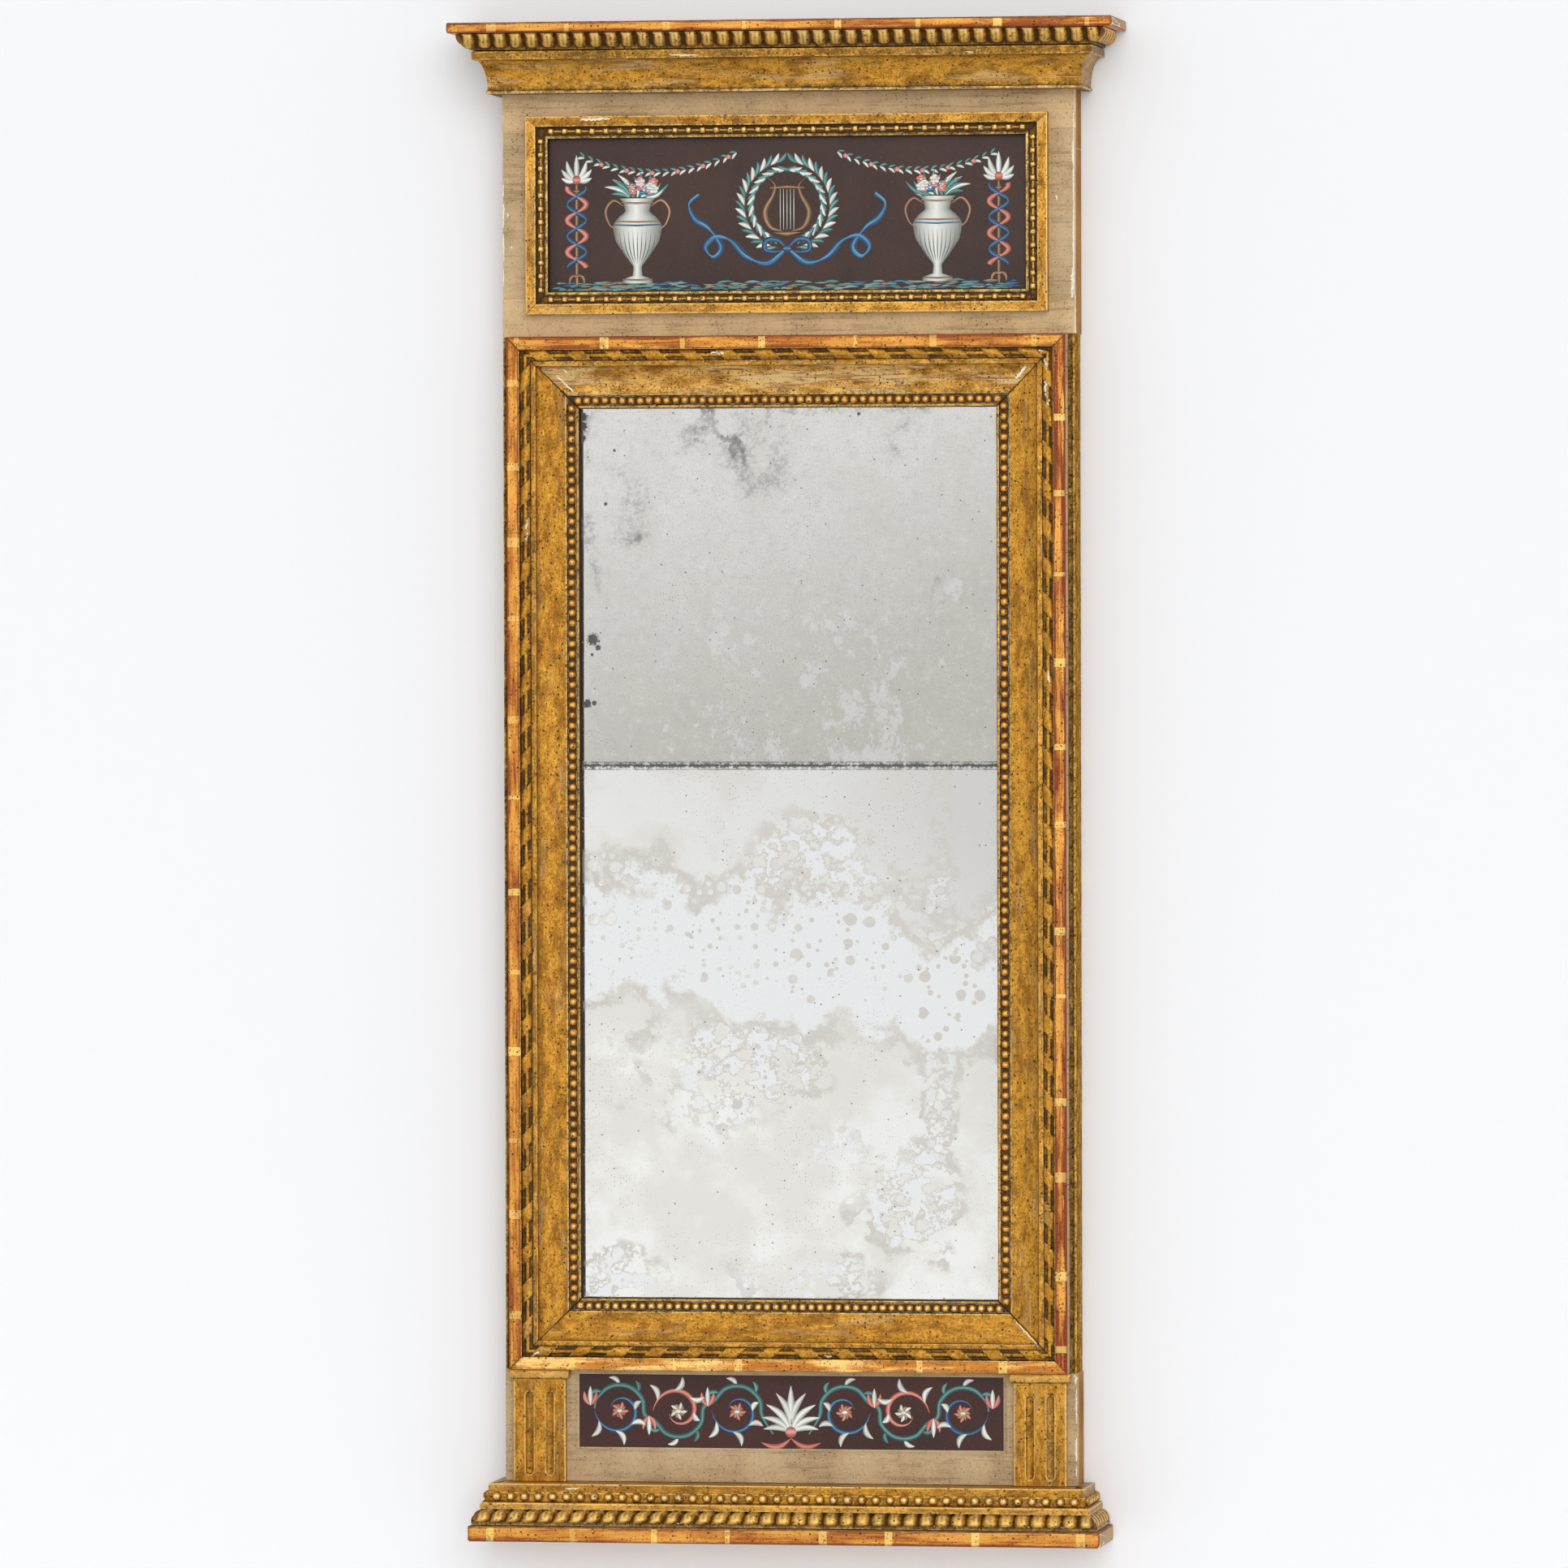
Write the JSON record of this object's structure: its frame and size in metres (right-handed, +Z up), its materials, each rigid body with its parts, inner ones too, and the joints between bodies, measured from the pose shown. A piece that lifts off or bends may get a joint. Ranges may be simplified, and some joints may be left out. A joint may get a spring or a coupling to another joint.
{
  "type": "trumeau mirror",
  "caption": "Tall gilded wall mirror in two plates, with a painted glass picture in its frieze, a smaller one in its plinth, and a carved cornice and base.",
  "frame": {"origin": "centre of the eye of the hanging strap, on the wall plane", "axes": "+Z up along the mirror's height, +Y into the wall, +X to the right as seen from the front"},
  "size_m": [0.662, 0.111, 1.5],
  "materials": {
    "matt_gilding": "carved wood, matt water gilding, patinated",
    "burnished_gilding": "wood, burnished gold leaf over red bole, rubbed",
    "paint": "wood, old greige paint over gesso",
    "side_paint": "wood, thin tan paint",
    "pine": "bare aged pine",
    "painted_glass": "glass painted on its back, dark ground",
    "mirror": "old silvered plate, foxed",
    "iron": "hand-forged iron"
  },
  "bodies": {
    "root": {"frame_bottom": "matt_gilding", "frame_top": "matt_gilding", "frame_left": "matt_gilding", "frame_right": "matt_gilding", "pearls_bottom": "matt_gilding", "pearls_top": "matt_gilding", "pearls_left": "matt_gilding", "pearls_right": "matt_gilding", "picture_frame_bottom": "matt_gilding", "picture_frame_top": "matt_gilding", "picture_frame_left": "matt_gilding", "picture_frame_right": "matt_gilding", "edge_mould_left": "matt_gilding", "edge_mould_right": "matt_gilding", "pilaster_left": "matt_gilding", "pilaster_right": "matt_gilding", "pilaster_cap_left": "matt_gilding", "pilaster_cap_right": "matt_gilding", "cove_front": "matt_gilding", "cove_return_left": "matt_gilding", "cove_return_right": "matt_gilding", "ovolo_front": "matt_gilding", "ovolo_return_left": "matt_gilding", "ovolo_return_right": "matt_gilding", "base_mould_front": "matt_gilding", "base_mould_return_left": "matt_gilding", "base_mould_return_right": "matt_gilding", "ribbon_bottom": "burnished_gilding", "ribbon_top": "burnished_gilding", "ribbon_left": "burnished_gilding", "ribbon_right": "burnished_gilding", "top_slab": "burnished_gilding", "base_slab": "burnished_gilding", "frieze_board_bottom": "paint", "frieze_board_top": "paint", "frieze_board_left": "paint", "frieze_board_right": "paint", "plinth_board": "paint", "frieze_cheek_left": "side_paint", "frieze_cheek_right": "side_paint", "plinth_cheek_left": "side_paint", "plinth_cheek_right": "side_paint", "case_stile_left": "pine", "case_stile_right": "pine", "case_rail_bottom": "pine", "case_rail_lower": "pine", "case_rail_upper": "pine", "case_rail_top": "pine", "mirror_backboard_left": "pine", "mirror_backboard_right": "pine", "picture_backboard": "pine", "plinth_backboard": "pine", "picture_glass": "painted_glass", "plinth_glass": "painted_glass", "mirror_lower": "mirror", "mirror_upper": "mirror", "hanger_strap": "iron", "hanger_nail_upper": "iron", "hanger_nail_lower": "iron"}
  },
  "joints": []
}
